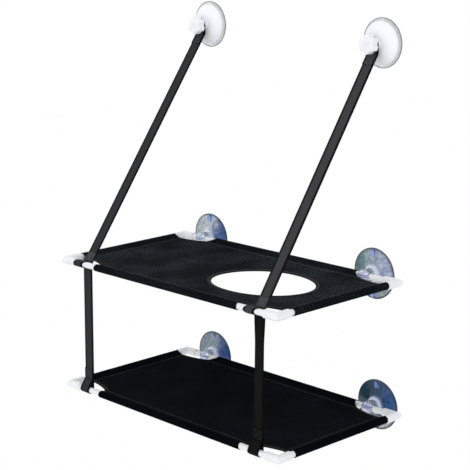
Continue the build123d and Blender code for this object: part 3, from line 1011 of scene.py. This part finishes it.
def dress_hanging_strap(side, hung_x):
    """The strap between the decks, which ends in a loop round the lower front tube, sewn back on itself"""
    strap_x = STRAP_X[side]
    hanger_top = Vector((hung_x, FRONT_Y + HANGER_RADIUS, 0))
    loop_start = Vector((strap_x, FRONT_Y + LOWER_LOOP_RADIUS, DECK_HEIGHTS["lower"]))
    drop = (loop_start - hanger_top).normalized()
    lean = radians(LOOP_LEAN)
    closing_run = (LOWER_LOOP_RADIUS * (1 + cos(lean)) - WEBBING_THICKNESS) / sin(lean)
    loop = around_tube(strap_x, DECK_HEIGHTS["lower"], LOWER_LOOP_RADIUS, 0, -180 - LOOP_LEAN, LOOP_STEPS)
    closing_end = loop[-1] + Vector((0, sin(lean), cos(lean))) * closing_run
    seam_end = hanger_top + drop * (closing_end.z / drop.z)
    seam_start = seam_end - drop * PATCH_LENGTH

    hanger = Builder()
    run = line(hanger_top, loop_start, TAPE_STEP) + loop[1:]
    run += line(loop[-1], closing_end, TAPE_STEP)[1:]
    tape(hanger, run, twists=[hanging_twist(point.z, HANGER_TWIST[side]) for point in run])
    tape(hanger, line(seam_start, seam_end, TAPE_STEP), lift=WEBBING_THICKNESS)
    hung = hanger.finish(f"{side}_vertical_strap", HANGING_PAINTED_SHADE[side], None, "webbing")
    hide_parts(f"{side}_hanging_strap")
    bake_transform(hung)
    sewn = Builder()
    seam_middle = seam_start.lerp(seam_end, 0.5) + Vector((0, -SEWING_LIFT, 0))
    box_stitches(sewn, seam_middle, drop, Vector((0, -1, 0)), END_BOX)
    sewn.finish(f"{side}_hanger_stitches", dark_thread, "hanging_straps", "webbing")


# Webbing by strap: the right slanting strap wears painted light and the right hanging strap painted shade
SLANTING_PAINTED_LIGHT = {"left": webbing, "right": painted_light_webbing}
HANGING_PAINTED_SHADE = {"left": webbing, "right": painted_shade_webbing}
for side, strap_x in STRAP_X.items():
    hung_x = strap_x + WRAP_DRIFT / 2
    dress_slanting_strap(side, hung_x)
    dress_turn(side, hung_x)
    dress_hanging_strap(side, hung_x)


# CAD nodes that stay, with their materials

def paint(node, material):
    piece = nodes[node]
    piece.data.materials.clear()
    piece.data.materials.append(material)


for node in nodes:
    if node.endswith(("_tube", "_elbow")):
        paint(node, white_plastic)
    elif node.endswith("_pressure_cover"):
        paint(node, cover_plastic)
    elif node.endswith("_knob"):
        paint(node, knob_plastic)
    elif node.endswith("_rear_cup"):
        paint(node, cup_vinyls[node])
    elif node.endswith("_cup"):
        paint(node, rim_vinyl)
    elif node.endswith("_stud"):
        paint(node, plated)


# Floor, world and lamps

FLOOR_REACH = 12.0
FLOOR_HEIGHT = -1.7
FLOOR_GLOW = 0.97
WORLD_LIGHT = 0.92


def direct_view(tree):
    """1 for rays from the camera, through glass and off a mirror, which see the plain background"""
    light_path = tree.nodes.new("ShaderNodeLightPath").outputs
    seen = light_path["Is Camera Ray"]
    for ray in ("Is Transmission Ray", "Is Glossy Ray"):
        larger = tree.nodes.new("ShaderNodeMath")
        larger.operation = "MAXIMUM"
        tree.links.new(seen, larger.inputs[0])
        tree.links.new(light_path[ray], larger.inputs[1])
        seen = larger.outputs[0]
    return seen


def floor():
    mesh = bpy.data.meshes.new("floor")
    corners = [(-1, -1), (1, -1), (1, 1), (-1, 1)]
    mesh.from_pydata(
        [(x * FLOOR_REACH, y * FLOOR_REACH, FLOOR_HEIGHT) for x, y in corners], [], [(0, 1, 2, 3)]
    )
    shader = Shader("pale_floor")
    tree = shader.tree
    grain = shader.noise(shader.object_place(), 3.0, 3.0)
    shader.set(Base_Color=shader.mix(grain, (0.88, 0.88, 0.88), (0.90, 0.90, 0.90)), Roughness=0.9)
    glow = shader.node("ShaderNodeEmission", {"Color": (1, 1, 1, 1), "Strength": 1.0})
    blend = shader.node("ShaderNodeMixShader")
    tree.links.new(shader.math("MULTIPLY", direct_view(tree), FLOOR_GLOW), blend.inputs[0])
    tree.links.new(shader.surface.outputs[0], blend.inputs[1])
    tree.links.new(glow.outputs[0], blend.inputs[2])
    tree.links.new(blend.outputs[0], tree.nodes["Material Output"].inputs["Surface"])
    mesh.materials.append(shader.material)
    made = bpy.data.objects.new("floor", mesh)
    bpy.context.scene.collection.objects.link(made)


def studio():
    """A soft white world that lights the perch a little less than it shows in the background"""
    world = bpy.data.worlds.new("studio")
    bpy.context.scene.world = world
    world.use_nodes = True
    tree = world.node_tree
    tree.nodes.clear()
    blend = tree.nodes.new("ShaderNodeMixShader")
    tree.links.new(direct_view(tree), blend.inputs[0])
    for socket, strength in zip(blend.inputs[1:], (WORLD_LIGHT, 1.0)):
        light = tree.nodes.new("ShaderNodeBackground")
        light.inputs["Color"].default_value = (1, 1, 1, 1)
        light.inputs["Strength"].default_value = strength
        tree.links.new(light.outputs[0], socket)
    output = tree.nodes.new("ShaderNodeOutputWorld")
    tree.links.new(blend.outputs[0], output.inputs["Surface"])


def lamp(name, place, aim, size, power):
    data = bpy.data.lights.new(name, "AREA")
    data.shape = "SQUARE"
    data.size = size
    data.energy = power
    made = bpy.data.objects.new(name, data)
    bpy.context.scene.collection.objects.link(made)
    made.location = place
    made.rotation_euler = (Vector(aim) - Vector(place)).to_track_quat("-Z", "Y").to_euler()


floor()
studio()
lamp("key_lamp", (-1.0, -1.9, 2.1), (0, -0.15, 0.05), 1.5, 6.5)
lamp("side_lamp", (-2.2, -1.2, 0.9), (0, -0.15, 0.05), 1.4, 3)
lamp("front_lamp", (2.0, -2.4, -0.4), (0, -0.1, 0.2), 1.6, 17.5)

bpy.context.scene.view_settings.view_transform = "Standard"
